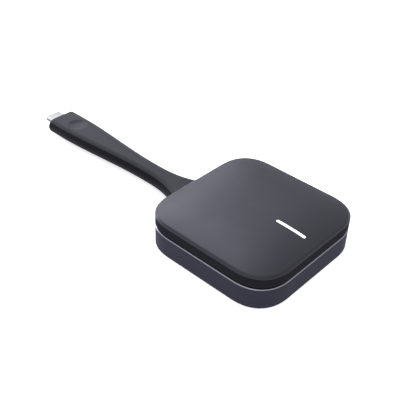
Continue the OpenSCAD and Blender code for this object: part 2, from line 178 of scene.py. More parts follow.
class TailSizes(bpy.types.PropertyGroup):
    """Sizes of the moulded tail and the plug"""
    head_w: length("Head width", 15.76 * MM, "Width of the tail's head")
    waist_w: length("Waist width", 9.52 * MM, "Width of the tail at its waist")
    waist_near: length("Flare", 23.0 * MM, "Length of the flare next to the puck")
    waist_len: length("Waist", 4.0 * MM, "Length of the waist's straight stretch")
    head_len: length("Head", 8.8 * MM, "Length of the head's straight stretch")
    end_round: length("Head edge", 0.28 * MM, "Rounding of the head's end face")
    dish_d: length("Dish", 8.9 * MM, "Diameter of the finger dish")
    dish_depth: length("Dish depth", 0.95 * MM, "Depth of the finger dish")
    dish_from_end: length("Dish place", 12.2 * MM, "From the head's face to the dish")
    usb_wall: length("Plug wall", 0.3 * MM, "Wall of the plug's steel shell")


class InnerSizes(bpy.types.PropertyGroup):
    """Sizes of the return springs"""
    coil_r: length("Coil radius", 2.3 * MM, "Radius of a spring's coil")
    wire_r: length("Wire radius", 0.2 * MM, "Radius of a spring's wire")
    spring_h: length("Spring height", 2.44 * MM, "Height of a spring at rest")
    press: length("Press", 0.5 * MM, "Travel of the cap")
    turns: IntProperty(name="Turns", default=3, min=1, description="Turns of each spring")


class Finishes(bpy.types.PropertyGroup):
    """Colours of the main finishes"""
    cap_face: colour("Cap face", "#1a1a20", "Soft-touch face of the cap")
    cap_side: colour("Cap side", "#1c1c20", "Upright side of the cap")
    case: colour("Case", "#2f2f38", "Lower shell")
    rim: colour("Rim", "#8e8f92", "Bright bevel along the rim")
    tail: colour("Tail", "#18181a", "Moulded elastomer of the tail")
    # The tail's sides are a darker copy of its colour: painted shade on the same elastomer
    tail_painted_shade: colour("Tail sides", "#0f0f11", "Sides of the tail, darker as painted shade")
    light: colour("Light", "#ffffff", "Light bar")


# ---------- small tools ----------

def start():
    """Leaves edit mode and deselects every object"""
    if bpy.context.object and bpy.context.object.mode != "OBJECT":
        bpy.ops.object.mode_set(mode="OBJECT")
    bpy.ops.object.select_all(action="DESELECT")


def block(name, lo, hi):
    """A cube primitive that fills the box from lo to hi, with its place in its mesh"""
    start()
    lo, hi = Vector(lo), Vector(hi)
    bpy.ops.mesh.primitive_cube_add(size=1, location=(lo + hi) / 2)
    piece = bpy.context.object
    piece.name = piece.data.name = name
    piece.scale = hi - lo
    bpy.ops.object.transform_apply(location=True, rotation=True, scale=True)
    bpy.ops.object.mode_set(mode="EDIT")
    bpy.ops.mesh.select_all(action="DESELECT")
    return piece


def pick_faces(piece, test):
    """Selects the faces whose centre and normal pass the test, and nothing else"""
    mesh = bmesh.from_edit_mesh(piece.data)
    bpy.ops.mesh.select_all(action="DESELECT")
    bpy.ops.mesh.select_mode(type="FACE")
    for face in mesh.faces:
        if test(face.calc_center_median(), face.normal):
            face.select_set(True)
    bmesh.update_edit_mesh(piece.data)


def pick_edges(piece, test):
    """Selects the edges whose two ends pass the test, and nothing else"""
    mesh = bmesh.from_edit_mesh(piece.data)
    bpy.ops.mesh.select_all(action="DESELECT")
    bpy.ops.mesh.select_mode(type="EDGE")
    for edge in mesh.edges:
        if test(edge.verts[0].co, edge.verts[1].co):
            edge.select_set(True)
    bmesh.update_edit_mesh(piece.data)


def pick_points(piece, test):
    """Selects the points that pass the test, and nothing else"""
    mesh = bmesh.from_edit_mesh(piece.data)
    bpy.ops.mesh.select_all(action="DESELECT")
    bpy.ops.mesh.select_mode(type="VERT")
    for point in mesh.verts:
        if test(point.co):
            point.select_set(True)
    bmesh.update_edit_mesh(piece.data)


def bevel(width, steps, profile=0.5):
    """Bevels the selected edges"""
    bpy.ops.mesh.bevel(offset_type="OFFSET", offset=width, segments=steps,
                       profile=profile, affect="EDGES", clamp_overlap=False)


def move(value):
    """Moves the selection"""
    bpy.ops.transform.translate(value=value)


def push(value):
    """Extrudes the selected faces and moves the new ones"""
    bpy.ops.mesh.extrude_region_move(TRANSFORM_OT_translate={"value": value})


def step_ring(ratio, lift):
    """Extrudes the selected faces, moves them by lift and scales them about the Z axis"""
    bpy.ops.mesh.extrude_region_move(TRANSFORM_OT_translate={"value": (0, 0, lift)})
    bpy.ops.transform.resize(value=(ratio, ratio, 1), center_override=(0, 0, 0))


def up_edge(a, b):
    """True for an edge that stands upright"""
    return abs(a.x - b.x) < EPS and abs(a.y - b.y) < EPS


def level_edge(z):
    """A test for edges that lie at height z"""
    return lambda a, b: abs(a.z - z) < EPS and abs(b.z - z) < EPS


def faces_at(z, up):
    """A test for faces at height z that look up (1) or down (-1)"""
    return lambda centre, normal: abs(centre.z - z) < EPS and normal.z * up > 0.999


def make_active(piece):
    """Makes a piece the only selected and the active one"""
    start()
    piece.select_set(True)
    bpy.context.view_layer.objects.active = piece


def smooth_again(piece, angle):
    """Smooths a piece once more, after a boolean has changed it"""
    make_active(piece)
    bpy.ops.object.shade_smooth_by_angle(angle=math.radians(angle))


def slice_across(x):
    """Cuts the whole mesh across at x"""
    bpy.ops.mesh.select_all(action="SELECT")
    bpy.ops.mesh.bisect(plane_co=(x, 0, 0), plane_no=(1, 0, 0))


def finish_active(angle=35):
    """Ends the active piece: merges doubles, points its faces outwards and smooths them"""
    bpy.ops.object.mode_set(mode="EDIT")
    bpy.ops.mesh.select_all(action="SELECT")
    bpy.ops.mesh.remove_doubles(threshold=0.000001)
    bpy.ops.mesh.normals_make_consistent(inside=False)
    bpy.ops.object.mode_set(mode="OBJECT")
    bpy.ops.object.shade_smooth_by_angle(angle=math.radians(angle))


def cut(piece, cutter, how="DIFFERENCE"):
    """Applies a boolean of one piece with another and removes the other"""
    make_active(piece)
    tool = piece.modifiers.new("cut", "BOOLEAN")
    tool.operation = how
    tool.solver = "EXACT"
    tool.object = cutter
    bpy.ops.object.modifier_apply(modifier="cut")
    bpy.data.objects.remove(cutter)


def copy_of(piece, name):
    """A copy with its own mesh"""
    twin = piece.copy()
    twin.data = piece.data.copy()
    twin.name = twin.data.name = name
    bpy.context.collection.objects.link(twin)
    return twin


def dress(piece, *materials):
    """Gives a piece its materials, in the order of its slots"""
    piece.data.materials.clear()
    for material in materials:
        piece.data.materials.append(material)


def paint_faces(piece, slot_index, test):
    """Gives the faces that pass the test another of the piece's materials"""
    for face in piece.data.polygons:
        if test(face.center, face.normal):
            face.material_index = slot_index


def rounded_block(name, lo, hi, corner, steps, fullness):
    """A block whose upright edges are rounded by a superelliptic bevel"""
    piece = block(name, lo, hi)
    pick_edges(piece, up_edge)
    bevel(corner, steps, fullness)
    return piece


def stadium_block(name, lo, hi):
    """A block along X whose long edges are fully round in the YZ plane"""
    piece = block(name, lo, hi)
    pick_edges(piece, lambda a, b: abs(a.x - b.x) > EPS)
    bevel((hi[2] - lo[2]) / 2, STADIUM_STEPS)
    # The upper and the lower rounding meet in one line, whose doubled points are merged
    bpy.ops.mesh.select_all(action="SELECT")
    bpy.ops.mesh.remove_doubles(threshold=0.000002)
    return piece


# ---------- materials ----------

def add(tree, kind, links=None, inputs=None, **settings):
    """Adds a node, sets its properties and inputs, and links what feeds it"""
    node = tree.nodes.new(kind)
    for key, value in settings.items():
        setattr(node, key, value)
    for key, value in (inputs or {}).items():
        node.inputs[key].default_value = value
    for key, source in (links or {}).items():
        tree.links.new(source, node.inputs[key])
    return node


def new_material(name):
    """An empty node material and its tree, with an output and object coordinates"""
    material = bpy.data.materials.new(name)
    material.use_nodes = True
    tree = material.node_tree
    tree.nodes.clear()
    place = add(tree, "ShaderNodeTexCoord").outputs["Object"]
    return material, tree, place


def per_mm(size_mm):
    """The scale that makes a noise pattern about size_mm across"""
    return 1 / (size_mm * MM)


def rgba(colour_value, gain=1.0):
    """A colour with an alpha of one, made lighter or darker by gain"""
    return [min(1.0, c * gain) for c in colour_value] + [1.0]


def close_tree(tree, shader):
    """Links the finished shader to the output"""
    add(tree, "ShaderNodeOutputMaterial", links={"Surface": shader.outputs[0]})


def mottled(tree, place, colour_value, size_mm, spread):
    """The base colour, a little lighter and darker in patches of size_mm"""
    noise = add(tree, "ShaderNodeTexNoise", links={"Vector": place},
                inputs={"Scale": per_mm(size_mm), "Detail": 4.0, "Roughness": 0.6})
    return add(tree, "ShaderNodeMix", data_type="RGBA",
               links={"Factor": noise.outputs["Fac"]},
               inputs={"A": rgba(colour_value, 1 - spread),
                       "B": rgba(colour_value, 1 + spread)}).outputs["Result"]


def gloss_range(tree, place, size_mm, low, high):
    """Roughness that drifts between two values in patches of size_mm"""
    noise = add(tree, "ShaderNodeTexNoise", links={"Vector": place},
                inputs={"Scale": per_mm(size_mm), "Detail": 3.0})
    return add(tree, "ShaderNodeMapRange", links={"Value": noise.outputs["Fac"]},
               inputs={"To Min": low, "To Max": high}).outputs["Result"]


def grain(tree, place, size_mm, depth_mm, detail=2.0):
    """A bump of fine grain of size_mm across and depth_mm deep"""
    noise = add(tree, "ShaderNodeTexNoise", links={"Vector": place},
                inputs={"Scale": per_mm(size_mm), "Detail": detail, "Roughness": 0.55})
    return add(tree, "ShaderNodeBump", links={"Height": noise.outputs["Fac"]},
               inputs={"Strength": 1.0, "Distance": depth_mm * MM}).outputs["Normal"]


def spark_textured_abs(name, colour_value, low=0.42, high=0.5, level=0.35):
    """Moulded ABS from a spark-eroded tool"""
    # A fine even grain that scatters the light into one broad soft highlight.
    # The real grain is about 0.1 mm; it is drawn at 0.3 mm so that it shows.
    material, tree, place = new_material(name)
    shader = add(tree, "ShaderNodeBsdfPrincipled",
                 links={"Base Color": mottled(tree, place, colour_value, 0.45, 0.07),
                        "Roughness": gloss_range(tree, place, 6.0, low, high),
                        "Normal": grain(tree, place, 0.3, 0.012)},
                 inputs={"IOR": 1.53, "Specular IOR Level": level})
    close_tree(tree, shader)
    return material


def soft_touch_coat(name, colour_value):
    """ABS with a soft-touch polyurethane coat"""
    # The coat mutes the grain and gives the face a velvety sheen at low angles.
    # The grain is drawn at 0.32 mm, coarser than the real 0.1 mm, so that it shows.
    material, tree, place = new_material(name)
    shader = add(tree, "ShaderNodeBsdfPrincipled",
                 links={"Base Color": mottled(tree, place, colour_value, 0.5, 0.06),
                        "Roughness": gloss_range(tree, place, 8.0, 0.4, 0.48),
                        "Normal": grain(tree, place, 0.32, 0.01)},
                 inputs={"IOR": 1.5, "Specular IOR Level": 0.4, "Sheen Weight": 0.06,
                         "Sheen Roughness": 0.4})
    close_tree(tree, shader)
    return material


def diamond_cut_edge(name, colour_value):
    """Rim bevel cut bright after moulding and lacquered"""
    # The cut leaves a clear bright edge whose gloss drifts a little along the rim.
    material, tree, place = new_material(name)
    shader = add(tree, "ShaderNodeBsdfPrincipled",
                 links={"Base Color": mottled(tree, place, colour_value, 1.5, 0.08),
                        "Roughness": gloss_range(tree, place, 2.0, 0.28, 0.4)},
                 inputs={"Metallic": 0.85})
    close_tree(tree, shader)
    return material


def moulded_tpe(name, colour_value, level=0.18):
    """Thermoplastic elastomer, moulded over the cable and the plug"""
    # Softer than the shells: a dry, even surface with a faint bloom and no clear highlight.
    # Its grain of about 0.1 mm is drawn at 0.35 mm so that it shows.
    material, tree, place = new_material(name)
    shader = add(tree, "ShaderNodeBsdfPrincipled",
                 links={"Base Color": mottled(tree, place, colour_value, 0.6, 0.05),
                        "Roughness": gloss_range(tree, place, 9.0, 0.5, 0.6),
                        "Normal": grain(tree, place, 0.35, 0.008)},
                 inputs={"IOR": 1.48, "Specular IOR Level": level, "Sheen Weight": 0.1,
                         "Sheen Roughness": 0.5})
    close_tree(tree, shader)
    return material


def drawn_steel(name, hex_value, low, high, line_mm=0.25, depth_mm=0.002):
    """Stainless steel sheet, drawn to shape"""
    # Drawing stretches the surface lengthwise, which leaves faint lines along X.
    material, tree, place = new_material(name)
    lines = add(tree, "ShaderNodeMapping", links={"Vector": place},
                inputs={"Scale": (0.04, 1.0, 1.0)}).outputs["Vector"]
    shader = add(tree, "ShaderNodeBsdfPrincipled",
                 links={"Base Color": mottled(tree, lines, linear(hex_value), 0.5, 0.03),
                        "Roughness": gloss_range(tree, lines, line_mm * 3, low, high),
                        "Normal": grain(tree, lines, line_mm, depth_mm)},
                 inputs={"Metallic": 1.0})
    close_tree(tree, shader)
    return material


def plated_metal(name, hex_value, low, high, grain_mm=0.3):
    """Plated or rolled metal with a satin surface"""
    # Plating evens out the sheet but leaves slow changes of gloss.
    material, tree, place = new_material(name)
    shader = add(tree, "ShaderNodeBsdfPrincipled",
                 links={"Base Color": mottled(tree, place, linear(hex_value), 1.2, 0.05),
                        "Roughness": gloss_range(tree, place, 1.5, low, high),
                        "Normal": grain(tree, place, grain_mm, 0.003)},
                 inputs={"Metallic": 1.0})
    close_tree(tree, shader)
    return material


def opal_diffuser(name, colour_value):
    """Opal polycarbonate, lit from behind"""
    # The scattering filler hides the diodes, so the bar glows almost evenly.
    material, tree, place = new_material(name)
    noise = add(tree, "ShaderNodeTexNoise", links={"Vector": place},
                inputs={"Scale": per_mm(3.0), "Detail": 2.0})
    glow = add(tree, "ShaderNodeMapRange", links={"Value": noise.outputs["Fac"]},
               inputs={"To Min": 1.0, "To Max": 1.1}).outputs["Result"]
    shader = add(tree, "ShaderNodeBsdfPrincipled",
                 links={"Emission Strength": glow,
                        "Normal": grain(tree, place, 0.3, 0.004)},
                 inputs={"Base Color": rgba(colour_value), "Roughness": 0.35, "IOR": 1.58,
                         "Emission Color": rgba(colour_value)})
    close_tree(tree, shader)
    return material


def moulded_clear(name, hex_value):
    """Clear moulded acrylic"""
    # Its polished faces carry the light and its frosted top spreads it.
    material, tree, place = new_material(name)
    shader = add(tree, "ShaderNodeBsdfPrincipled",
                 links={"Roughness": gloss_range(tree, place, 2.0, 0.05, 0.15),
                        "Normal": grain(tree, place, 1.0, 0.004)},
                 inputs={"Base Color": rgba(linear(hex_value)), "IOR": 1.49,
                         "Transmission Weight": 0.8})
    close_tree(tree, shader)
    return material


def moulded_plain(name, hex_value, low, high, patch_mm=0.8, depth_mm=0.006, spread=0.06):
    """A matte moulded, fired or cast surface"""
    # Even colour with a slight cloud, and a fine orange peel from the mould,
    # drawn at 0.4 mm, coarser than it is, so that it shows.
    material, tree, place = new_material(name)
    shader = add(tree, "ShaderNodeBsdfPrincipled",
                 links={"Base Color": mottled(tree, place, linear(hex_value), patch_mm, spread),
                        "Roughness": gloss_range(tree, place, patch_mm * 3, low, high),
                        "Normal": grain(tree, place, 0.4, depth_mm)},
                 inputs={"IOR": 1.5})
    close_tree(tree, shader)
    return material


def solder_mask(name):
    """Glass-epoxy laminate under a green solder mask"""
    # The weave of the glass, about 0.5 mm, and the traces show faintly through the gloss.
    material, tree, place = new_material(name)
    weave = add(tree, "ShaderNodeTexChecker", links={"Vector": place},
                inputs={"Scale": per_mm(0.5), "Color1": rgba(linear("#1f5c3c")),
                        "Color2": rgba(linear("#1a5336"))})
    traces = add(tree, "ShaderNodeTexBrick", links={"Vector": place},
                 inputs={"Scale": per_mm(1.0), "Color1": rgba(linear("#2a7048")),
                         "Color2": rgba(linear("#1d5939")), "Mortar": rgba(linear("#174a30")),
                         "Mortar Size": 0.06, "Brick Width": 3.0, "Row Height": 0.6})
    mask = add(tree, "ShaderNodeMix", data_type="RGBA", inputs={"Factor": 0.5},
               links={"A": weave.outputs["Color"], "B": traces.outputs["Color"]})
    shader = add(tree, "ShaderNodeBsdfPrincipled",
                 links={"Base Color": mask.outputs["Result"],
                        "Roughness": gloss_range(tree, place, 4.0, 0.25, 0.35),
                        "Normal": grain(tree, place, 0.5, 0.01)},
                 inputs={"IOR": 1.52})
    close_tree(tree, shader)
    return material


def studio_floor(name):
    """Opal acrylic of a light table"""
    # Its own faint glow keeps it white, so that only the soft contact shade shows.
    material, tree, place = new_material(name)
    shader = add(tree, "ShaderNodeBsdfPrincipled",
                 links={"Base Color": mottled(tree, place, linear("#f6f6f6"), 40.0, 0.004)},
                 inputs={"Roughness": 0.9, "Emission Color": (1, 1, 1, 1),
                         "Emission Strength": 0.65})
    close_tree(tree, shader)
    return material


# ---------- pieces ----------

class CASTBUTTON_OT_case_shell(bpy.types.Operator):
    """Lower shell: an open tray with a bright bevel along its rim and a pocket for the foot"""
    bl_idname = "castbutton.case_shell"
    bl_label = "Case shell"

    def execute(self, context):
        sizes, finishes = context.scene.puck_sizes, context.scene.finishes
        shell = rounded_block("case_shell", SHELL_LO, SHELL_HI, sizes.corner, CORNER_STEPS,
                              sizes.fullness)
        pick_edges(shell, level_edge(SHELL_LO.z))
        bevel(sizes.base_round, 4)
        pick_edges(shell, level_edge(SHELL_HI.z))
        bevel(sizes.rim_bevel, 1)
        pick_faces(shell, faces_at(SHELL_HI.z, 1))
        bpy.ops.mesh.inset(thickness=sizes.wall - sizes.rim_bevel)
        push((0, 0, FRAME_LO.z - SHELL_HI.z))
        pick_faces(shell, faces_at(SHELL_LO.z, -1))
        bpy.ops.mesh.inset(thickness=sizes.foot_inset - sizes.base_round)
        push((0, 0, FOOT_HI.z - SHELL_LO.z))
        finish_active(PLASTIC_SMOOTH)
        dress(shell,
              spark_textured_abs("spark textured ABS case", finishes.case, 0.55, 0.65, 0.03),
              diamond_cut_edge("diamond cut rim", finishes.rim),
              spark_textured_abs("painted shade ABS rim face", linear("#020202"), 0.8, 0.9, 0.01))
        rim_z = SHELL_HI.z - sizes.rim_bevel / 2
        paint_faces(shell, 1, lambda c, n: abs(c.z - rim_z) < EPS and 0.3 < n.z < 0.95)
        # The rim's flat top inside the gap gets a near-black finish: painted shade for the
        # shadow in the gap
        paint_faces(shell, 2, lambda c, n: c.z > SHELL_HI.z - EPS and n.z > 0.95)
        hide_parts("lower_shell")
        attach(shell, "base")
        return {"FINISHED"}


class CASTBUTTON_OT_foot(bpy.types.Operator):
    """Rubber foot: a thin pad with a rounded edge and four ring grooves that grip"""
    bl_idname = "castbutton.foot"
    bl_label = "Foot"

    def execute(self, context):
        sizes = context.scene.puck_sizes
        foot = rounded_block("rubber_foot", FOOT_LO, FOOT_HI,
                             sizes.corner - sizes.foot_inset, FOOT_CORNER_STEPS,
                             sizes.fullness)
        pick_edges(foot, level_edge(FOOT_LO.z))
        bevel(FOOT_ROUND, 3)
        pick_faces(foot, faces_at(FOOT_LO.z, -1))
        for _ in range(GROOVES):
            step_ring(GROOVE_LAND, 0)
            step_ring(GROOVE_SLANT, GROOVE_DEPTH)
            step_ring(GROOVE_FLOOR, 0)
            step_ring(GROOVE_SLANT, -GROOVE_DEPTH)
        finish_active(PLASTIC_SMOOTH)
        dress(foot, moulded_plain("moulded silicone foot", "#2b2b2f", 0.7, 0.82, 1.2, 0.01))
        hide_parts("foot_pad")
        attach(foot, "base")
        return {"FINISHED"}


def cap_shoulder(sizes):
    """Height at which the cap's side ends and its bevel begins"""
    return CAP_HI.z - sizes.crown - sizes.bevel_h


def cap_solid(sizes, name):
    """The cap's closed outer form: upright side, bevel and crowned face"""
    shoulder = cap_shoulder(sizes)
    cap = rounded_block(name, CAP_LO, (CAP_HI.x, CAP_HI.y, shoulder), sizes.corner,
                        CORNER_STEPS, sizes.fullness)
    pick_faces(cap, faces_at(shoulder, 1))
    bpy.ops.mesh.inset(thickness=sizes.bevel_w)
    move((0, 0, sizes.bevel_h))
    scale, height = 1.0, 0.0
    for ring in range(1, CROWN_RINGS + 1):
        new_scale = 1 - (ring / CROWN_RINGS) ** CROWN_CROWDING * CROWN_REACH
        new_height = sizes.crown * (1 - new_scale ** 4)
        step_ring(new_scale / scale, new_height - height)
        scale, height = new_scale, new_height
    return cap


def bar_form(name, sizes, grow):
    """An upright prism of the light bar's outline, wider by grow all round"""
    bar_mid = (BAR_LO.x + BAR_HI.x) / 2
    half_len, half_w = sizes.bar_len / 2, sizes.bar_w / 2
    low = (bar_mid - half_len - grow, -half_w - grow, BAR_LO.z - MM)
    high = (bar_mid + half_len + grow, half_w + grow, CAP_HI.z + MM)
    # A hair under half the width, so that the round ends leave no face of zero size
    form = rounded_block(name, low, high, half_w + grow - EPS / 10, LENS_STEPS, 0.5)
    finish_active()
    return form


class CASTBUTTON_OT_press_cap(bpy.types.Operator):
    """Press cap and light lens: a crowned cap, hollow below, with a slot that the lens fills"""
    bl_idname = "castbutton.press_cap"
    bl_label = "Press cap"

    def execute(self, context):
        sizes, finishes = context.scene.puck_sizes, context.scene.finishes
        cap = cap_solid(sizes, "press_cap")
        shoulder = cap_shoulder(sizes)
        crease = shoulder + sizes.bevel_h
        bpy.ops.object.mode_set(mode="OBJECT")
        full_form = copy_of(cap, "full_form")
        start()
        context.view_layer.objects.active = cap
        bpy.ops.object.mode_set(mode="EDIT")
        for z, width in ((shoulder, SHOULDER_ROUND), (crease, CREASE_ROUND),
                         (CAP_LO.z, HEM_ROUND)):
            pick_edges(cap, level_edge(z))
            bevel(width, 3)
        pick_faces(cap, faces_at(CAP_LO.z, -1))
        bpy.ops.mesh.inset(thickness=sizes.cap_wall - HEM_ROUND)
        push((0, 0, CARRIER_HI.z - CAP_LO.z))
        finish_active(PLASTIC_SMOOTH)

        cut(cap, bar_form("slot_cutter", sizes, SLOT_GAP))
        lens = bar_form("light_lens", sizes, 0)
        cut(lens, full_form, "INTERSECT")
        smooth_again(cap, PLASTIC_SMOOTH)
        smooth_again(lens, PLASTIC_SMOOTH)
        dress(cap, soft_touch_coat("soft touch coated ABS face", finishes.cap_face),
              spark_textured_abs("spark textured ABS side", finishes.cap_side, 0.6, 0.7, 0.01))
        paint_faces(cap, 1, lambda c, n: c.z < shoulder - SIDE_MARGIN)
        dress(lens, opal_diffuser("opal polycarbonate", finishes.light))
        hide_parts("top_cap")
        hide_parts("light_bar")
        for piece, slot_name in ((cap, "cap_plastic"), (lens, "light_diffuser")):
            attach(piece, "cap")
        return {"FINISHED"}


def ease(u):
    """A smooth step from 0 to 1"""
    return u * u * (3 - 2 * u)


def tail_half(x, puck, tail):
    """Half the tail's width at x: a flare at the puck, a waist and a wider head"""
    near_x = -HALF - tail.waist_near
    far_x = near_x - tail.waist_len
    straight_x = HEAD_LO.x + tail.head_len
    waist = tail.waist_w / 2
    far = min(1, max(0, (far_x - x) / (far_x - straight_x)))
    near = min(1, max(0, (x - near_x) / tail.waist_near))
    root = HALF - puck.corner
    return (waist + (tail.head_w / 2 - waist) * ease(far)
            + (root - waist) * (1 - math.sqrt(1 - near * near)))


def tail_stations():
    """Places along the tail where it is cut across, closer together towards the puck"""
    stations = [HEAD_LO.x + STATION_STEP * i for i in range(1, 100)]
    stations = [x for x in stations if x < -HALF - FLARE_FROM]
    while stations[-1] < -HALF - FLARE_END:
        room = -HALF - stations[-1]
        stations.append(stations[-1] + max(FLARE_STEP, room * FLARE_GROWTH))
    return stations


class CASTBUTTON_OT_tail_strap(bpy.types.Operator):
    """Moulded tail: one soft strap from the puck's wall to the plug"""
    bl_idname = "castbutton.tail_strap"
    bl_label = "Tail strap"

    def execute(self, context):
        puck, tail = context.scene.puck_sizes, context.scene.tail_sizes
        waist = tail.waist_w / 2
        strap = stadium_block("tail_strap", (HEAD_LO.x, -waist, TAIL_MID - TAIL_T / 2),
                              (-HALF, waist, TAIL_MID + TAIL_T / 2))
        stations = tail_stations()
        for x in stations:
            slice_across(x)
        for x in [HEAD_LO.x] + stations + [-HALF]:
            wider = tail_half(x, puck, tail) - waist
            for side in (1, -1):
                pick_points(strap, lambda p: abs(p.x - x) < EPS and p.y * side > EPS)
                if wider > EPS / 100:
                    move((0, side * wider, 0))
        end_x = HEAD_LO.x
        pick_edges(strap, lambda a, b: abs(a.x - end_x) < EPS and abs(b.x - end_x) < EPS)
        bevel(tail.end_round, 8)
        finish_active(STRAP_SMOOTH)

        radius = (tail.dish_d ** 2 / 4 + tail.dish_depth ** 2) / (2 * tail.dish_depth)
        start()
        bpy.ops.mesh.primitive_uv_sphere_add(
            segments=DISH_SEGMENTS, ring_count=DISH_RINGS, radius=radius,
            location=(HEAD_LO.x + tail.dish_from_end, 0,
                      HEAD_HI.z + radius - tail.dish_depth))
        cut(strap, bpy.context.object)
        mouth = stadium_block("mouth_cutter", (HEAD_LO.x - MM, USB_LO.y, USB_LO.z),
                              (HEAD_LO.x + MM, USB_HI.y, USB_HI.z))
        finish_active()
        cut(strap, mouth)
        smooth_again(strap, STRAP_SMOOTH)
        finishes = context.scene.finishes
        dress(strap, moulded_tpe("moulded TPE tail", finishes.tail),
              moulded_tpe("moulded TPE tail sides in painted shade", finishes.tail_painted_shade, 0.01),
              moulded_tpe("rubbed TPE dish", finishes.tail, 0.3))
        # Faces that look less than about 45 degrees upwards are the sides; their darker colour
        # is painted shade
        paint_faces(strap, 1, lambda c, n: n.z < 0.7 and c.z < HEAD_HI.z - MM)
        dish = Vector((HEAD_LO.x + tail.dish_from_end, 0, HEAD_HI.z))
        paint_faces(strap, 2, lambda c, n: c.z < HEAD_HI.z - EPS / 4 and n.z > 0.8
                    and (c - dish).length < tail.dish_d / 2)
        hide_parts("tail_root", "tail_neck", "tail_head")
        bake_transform(strap)
        return {"FINISHED"}


class CASTBUTTON_OT_cable_lead(bpy.types.Operator):
    """Cable inside the tail: a jacket with its bundle of cores standing out at both ends"""
    bl_idname = "castbutton.cable_lead"
    bl_label = "Cable lead"

    def execute(self, context):
        start()
        radius = (JACKET_HI.z - JACKET_LO.z) / 2
        bpy.ops.mesh.primitive_cylinder_add(
            vertices=CABLE_POINTS, radius=radius, depth=JACKET_HI.x - JACKET_LO.x,
            location=((JACKET_HI.x + JACKET_LO.x) / 2, 0, TAIL_MID),
            rotation=(0, math.pi / 2, 0))
        lead = context.object
        lead.name = lead.data.name = "cable_lead"
        bpy.ops.object.transform_apply(location=True, rotation=True, scale=True)
        bpy.ops.object.mode_set(mode="EDIT")
        x = JACKET_LO.x + CABLE_STEP
        while x < JACKET_HI.x - MM:
            slice_across(x)
            x += CABLE_STEP
        for end_x, core_x, side in ((JACKET_LO.x, CORES_LO.x, -1),
                                    (JACKET_HI.x, CORES_HI.x, 1)):
            pick_faces(lead, lambda c, n: abs(c.x - end_x) < EPS and n.x * side > 0.9)
            bpy.ops.mesh.inset(thickness=JACKET_LEDGE)
            push((-side * CORE_RECESS, 0, 0))
            bpy.ops.mesh.inset(thickness=CORE_PINCH)
            push((core_x - end_x + side * CORE_RECESS, 0, 0))
        finish_active(40)
        dress(lead, moulded_plain("extruded PVC jacket", "#1e1e21", 0.45, 0.6),
              plated_metal("tinned copper cores", "#b98a62", 0.3, 0.45))
        paint_faces(lead, 1, lambda c, n: c.x < JACKET_LO.x - EPS or c.x > JACKET_HI.x + EPS)
        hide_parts("cable_jacket", "cable_cores")
        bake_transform(lead)
        return {"FINISHED"}


class CASTBUTTON_OT_plug_sleeve(bpy.types.Operator):
    """Steel sleeve of the USB-C plug: a drawn tube with round sides and a rolled lip"""
    bl_idname = "castbutton.plug_sleeve"
    bl_label = "Plug sleeve"

    def execute(self, context):
        tail = context.scene.tail_sizes
        sleeve = stadium_block("plug_sleeve", USB_LO, USB_HI)
        lip = tail.usb_wall / 3
        pick_edges(sleeve, lambda a, b: max(a.x, b.x) < USB_LO.x + EPS)
        bevel(lip, 3)
        pick_faces(sleeve, lambda c, n: n.x < -0.999)
        bpy.ops.mesh.inset(thickness=lip)
        bpy.ops.mesh.inset(thickness=lip, depth=-lip)
        push((USB_HI.x - USB_LO.x - lip - PLUG_BACK, 0, 0))
        finish_active(35)
        dress(sleeve, drawn_steel("drawn stainless sleeve", "#9c9c94", 0.34, 0.44),
              drawn_steel("drawn stainless sides in painted shade", "#74746e", 0.4, 0.5))
        # The sides and underside get a darker copy of the steel's colour: painted shade
        paint_faces(sleeve, 1, lambda c, n: n.z < 0.5)
        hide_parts("usb_shell")
        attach(sleeve, "plug_end")
        return {"FINISHED"}


class CASTBUTTON_OT_coil_springs(bpy.types.Operator):
    """Return springs: four wound coils under the cap"""
    bl_idname = "castbutton.coil_springs"
    bl_label = "Coil springs"

    def execute(self, context):
        start()
        sizes = context.scene.inner_sizes
        post = SPRING_HI.x - sizes.coil_r - sizes.wire_r
        bottom, top = FRAME_DECK_Z, FRAME_DECK_Z + sizes.spring_h
        bpy.ops.mesh.primitive_circle_add(
            vertices=WIRE_POINTS, radius=sizes.wire_r, rotation=(math.pi / 2, 0, 0),
            location=(sizes.coil_r, 0, bottom + sizes.wire_r))
        coils = context.object
        coils.name = coils.data.name = "coil_springs"
        bpy.ops.object.transform_apply(location=True, rotation=True, scale=True)
        winding = coils.modifiers.new("winding", "SCREW")
        winding.iterations = sizes.turns
        winding.screw_offset = (sizes.spring_h - 2 * sizes.wire_r) / sizes.turns
        winding.steps = winding.render_steps = TURN_STEPS
        bpy.ops.object.modifier_apply(modifier="winding")
        bpy.ops.object.mode_set(mode="EDIT")
        bpy.ops.mesh.select_all(action="SELECT")
        bpy.ops.mesh.fill_holes(sides=0)
        bpy.ops.mesh.select_all(action="SELECT")
        move((post, post, 0))
        for step in ((-2 * post, 0, 0), (0, -2 * post, 0), (2 * post, 0, 0)):
            bpy.ops.mesh.duplicate_move(TRANSFORM_OT_translate={"value": step})
        finish_active(50)
        dress(coils, drawn_steel("drawn spring wire", "#b0b2b6", 0.25, 0.38))
        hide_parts("return_springs")
        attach(coils, "base")
        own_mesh(coils)
        return {"FINISHED"}


def dress_nodes(material, *names):
    """Gives CAD nodes that stay visible a better material"""
    for name in names:
        dress(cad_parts[name], material)


